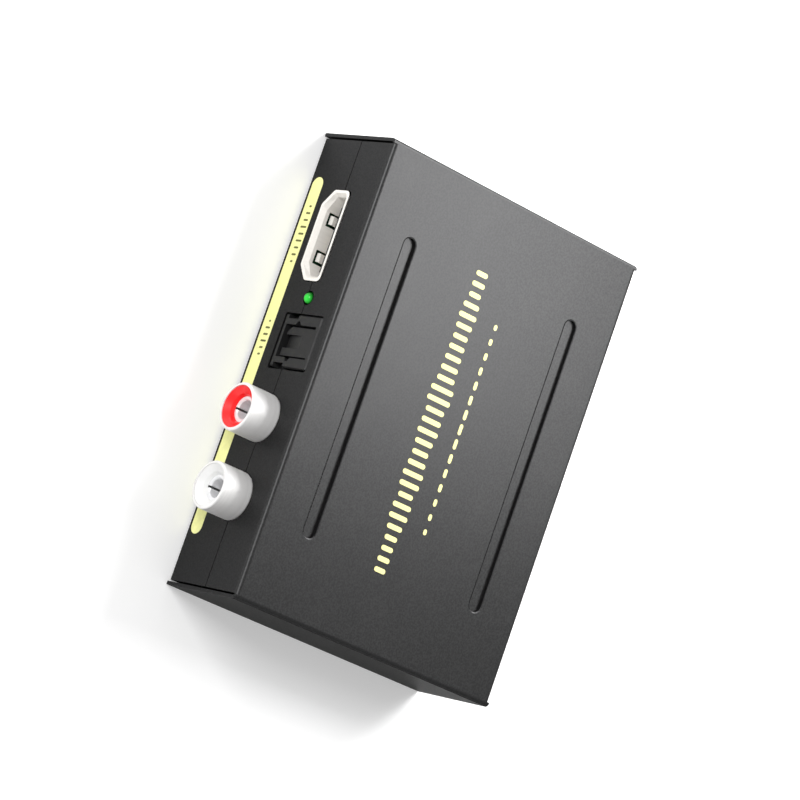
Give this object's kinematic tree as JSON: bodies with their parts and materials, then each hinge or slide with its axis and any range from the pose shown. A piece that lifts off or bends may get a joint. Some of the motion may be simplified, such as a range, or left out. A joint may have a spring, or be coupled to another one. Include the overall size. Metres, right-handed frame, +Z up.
{
  "type": "audio extractor",
  "caption": "Small folded sheet-metal box on one circuit board that takes the sound out of a digital video signal, with video, optical, phono and power jacks and a mode switch",
  "frame": {"origin": "centre of the flat base of the case, on its underside", "axes": "+X runs along the row of jacks towards the phono jacks, the front with the phono jacks faces -Y, +Z is up"},
  "size_m": [0.08, 0.0651, 0.019],
  "materials": {
    "case_coat": "fine black powder coat on folded steel",
    "zinc_steel": "zinc-plated or tinned steel",
    "brass": "turned or stamped brass, gold-washed on contacts",
    "nickel": "satin nickel plate",
    "board": "glass-fibre laminate with green solder mask",
    "black_plastic": "moulded black thermoplastic",
    "red_plastic": "moulded red plastic",
    "white_plastic": "moulded white plastic",
    "green_lens": "clear green moulded lens",
    "aluminium": "drawn aluminium can",
    "ceramic": "ceramic with tinned ends"
  },
  "bodies": {
    "case": {"upper_shell": "case_coat", "screw_brackets": "zinc_steel", "lower_tray": "case_coat", "case_screws": "zinc_steel", "board_spacers": "brass", "board_screws": "zinc_steel", "main_board": "board", "video_out_shell": "nickel", "video_out_insulator": "black_plastic", "video_out_contacts": "brass", "video_in_shell": "nickel", "video_in_insulator": "black_plastic", "video_in_contacts": "brass", "light_lens": "green_lens", "light_leads": "zinc_steel", "optical_housing": "black_plastic", "optical_emitter": "black_plastic", "emitter_leads": "zinc_steel", "phono_block": "black_plastic", "red_jack_barrel": "nickel", "white_jack_barrel": "nickel", "red_jack_insert": "red_plastic", "white_jack_insert": "white_plastic", "red_jack_contact": "nickel", "white_jack_contact": "nickel", "inlet_housing": "black_plastic", "inlet_pin": "nickel", "inlet_spring": "nickel", "switch_cover": "zinc_steel", "switch_base": "black_plastic", "switch_terminals": "brass", "video_chip": "black_plastic", "audio_chip": "black_plastic", "regulator": "black_plastic", "crystal": "nickel", "coil": "black_plastic", "capacitors": "aluminium", "small_parts": "ceramic"},
    "shutter": {"optical_shutter": "black_plastic", "shutter_spring": "zinc_steel"},
    "mode_slider": {"switch_slider": "black_plastic"}
  },
  "joints": [
    {"name": "shutter_hinge", "type": "hinge", "parent": "case", "child": "shutter", "pos_m": [-0.0037, -0.02735, 0.01463], "axis": [1, 0, 0], "range_deg": [0, 88], "stiffness_Nm_per_rad": 0.0002, "springref_deg": -28.65},
    {"name": "mode_slide", "type": "slide", "parent": "case", "child": "mode_slider", "axis": [1, 0, 0], "range_m": [-0.002, 0.002]}
  ]
}
